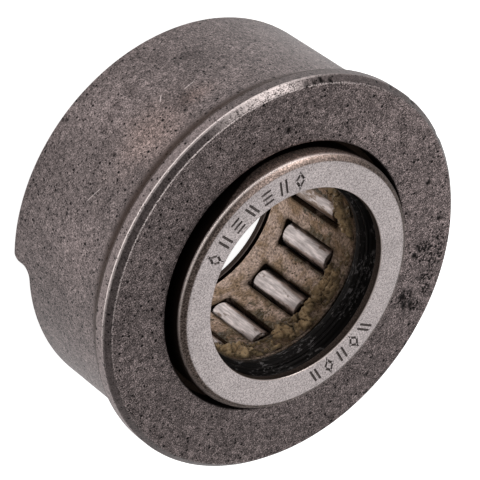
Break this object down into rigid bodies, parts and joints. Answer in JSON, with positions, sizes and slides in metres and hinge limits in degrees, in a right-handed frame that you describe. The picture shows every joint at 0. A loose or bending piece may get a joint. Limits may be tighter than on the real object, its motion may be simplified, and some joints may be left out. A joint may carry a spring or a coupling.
{
  "type": "flanged needle roller pilot bearing",
  "caption": "Flanged pilot bearing: caged needle rollers in a drawn cup with a rubber grease seal, pressed into a short sintered housing with puller notches.",
  "frame": {"origin": "centre of the housing's flat back face, on the bearing axis", "axes": "+Z along the bearing axis, from the back face to the flange; the two puller notches are on +X and -X"},
  "size_m": [0.0368, 0.0368, 0.0171],
  "materials": {
    "sintered_iron": "speckled sintered skin, worn bright along the flange edge",
    "cup_steel": "satin drawn steel",
    "seal_rubber": "black nitrile rubber, slightly greasy",
    "insert_steel": "plain stamped steel",
    "cage_steel": "dull steel with a film of grease",
    "roller_steel": "ground and hardened, oily"
  },
  "bodies": {
    "housing_assembly": {"housing": "sintered_iron", "cup": "cup_steel", "seal_lip": "seal_rubber", "seal_insert": "insert_steel"},
    "cage": {"cage": "cage_steel"},
    "roller_01": {"roller_01": "roller_steel"},
    "roller_02": {"roller_02": "roller_steel"},
    "roller_03": {"roller_03": "roller_steel"},
    "roller_04": {"roller_04": "roller_steel"},
    "roller_05": {"roller_05": "roller_steel"},
    "roller_06": {"roller_06": "roller_steel"},
    "roller_07": {"roller_07": "roller_steel"},
    "roller_08": {"roller_08": "roller_steel"},
    "roller_09": {"roller_09": "roller_steel"},
    "roller_10": {"roller_10": "roller_steel"},
    "roller_11": {"roller_11": "roller_steel"},
    "roller_12": {"roller_12": "roller_steel"}
  },
  "joints": [
    {"name": "cage_spin", "type": "hinge", "parent": "housing_assembly", "child": "cage", "pos_m": [0, 0, 0.0079], "axis": [0, 0, 1], "continuous": true},
    {"name": "roller_01_spin", "type": "hinge", "parent": "cage", "child": "roller_01", "pos_m": [0.00945, 0.00253, 0.0079], "axis": [0, 0, 1], "continuous": true},
    {"name": "roller_02_spin", "type": "hinge", "parent": "cage", "child": "roller_02", "pos_m": [0.00692, 0.00692, 0.0079], "axis": [0, 0, 1], "continuous": true},
    {"name": "roller_03_spin", "type": "hinge", "parent": "cage", "child": "roller_03", "pos_m": [0.00253, 0.00945, 0.0079], "axis": [0, 0, 1], "continuous": true},
    {"name": "roller_04_spin", "type": "hinge", "parent": "cage", "child": "roller_04", "pos_m": [-0.00253, 0.00945, 0.0079], "axis": [0, 0, 1], "continuous": true},
    {"name": "roller_05_spin", "type": "hinge", "parent": "cage", "child": "roller_05", "pos_m": [-0.00692, 0.00692, 0.0079], "axis": [0, 0, 1], "continuous": true},
    {"name": "roller_06_spin", "type": "hinge", "parent": "cage", "child": "roller_06", "pos_m": [-0.00945, 0.00253, 0.0079], "axis": [0, 0, 1], "continuous": true},
    {"name": "roller_07_spin", "type": "hinge", "parent": "cage", "child": "roller_07", "pos_m": [-0.00945, -0.00253, 0.0079], "axis": [0, 0, 1], "continuous": true},
    {"name": "roller_08_spin", "type": "hinge", "parent": "cage", "child": "roller_08", "pos_m": [-0.00692, -0.00692, 0.0079], "axis": [0, 0, 1], "continuous": true},
    {"name": "roller_09_spin", "type": "hinge", "parent": "cage", "child": "roller_09", "pos_m": [-0.00253, -0.00945, 0.0079], "axis": [0, 0, 1], "continuous": true},
    {"name": "roller_10_spin", "type": "hinge", "parent": "cage", "child": "roller_10", "pos_m": [0.00253, -0.00945, 0.0079], "axis": [0, 0, 1], "continuous": true},
    {"name": "roller_11_spin", "type": "hinge", "parent": "cage", "child": "roller_11", "pos_m": [0.00692, -0.00692, 0.0079], "axis": [0, 0, 1], "continuous": true},
    {"name": "roller_12_spin", "type": "hinge", "parent": "cage", "child": "roller_12", "pos_m": [0.00945, -0.00253, 0.0079], "axis": [0, 0, 1], "continuous": true}
  ],
  "couplings": [
    {"joint": "roller_01_spin", "follows": "cage_spin", "ratio": -8.84},
    {"joint": "roller_02_spin", "follows": "cage_spin", "ratio": -8.84},
    {"joint": "roller_03_spin", "follows": "cage_spin", "ratio": -8.84},
    {"joint": "roller_04_spin", "follows": "cage_spin", "ratio": -8.84},
    {"joint": "roller_05_spin", "follows": "cage_spin", "ratio": -8.84},
    {"joint": "roller_06_spin", "follows": "cage_spin", "ratio": -8.84},
    {"joint": "roller_07_spin", "follows": "cage_spin", "ratio": -8.84},
    {"joint": "roller_08_spin", "follows": "cage_spin", "ratio": -8.84},
    {"joint": "roller_09_spin", "follows": "cage_spin", "ratio": -8.84},
    {"joint": "roller_10_spin", "follows": "cage_spin", "ratio": -8.84},
    {"joint": "roller_11_spin", "follows": "cage_spin", "ratio": -8.84},
    {"joint": "roller_12_spin", "follows": "cage_spin", "ratio": -8.84}
  ]
}
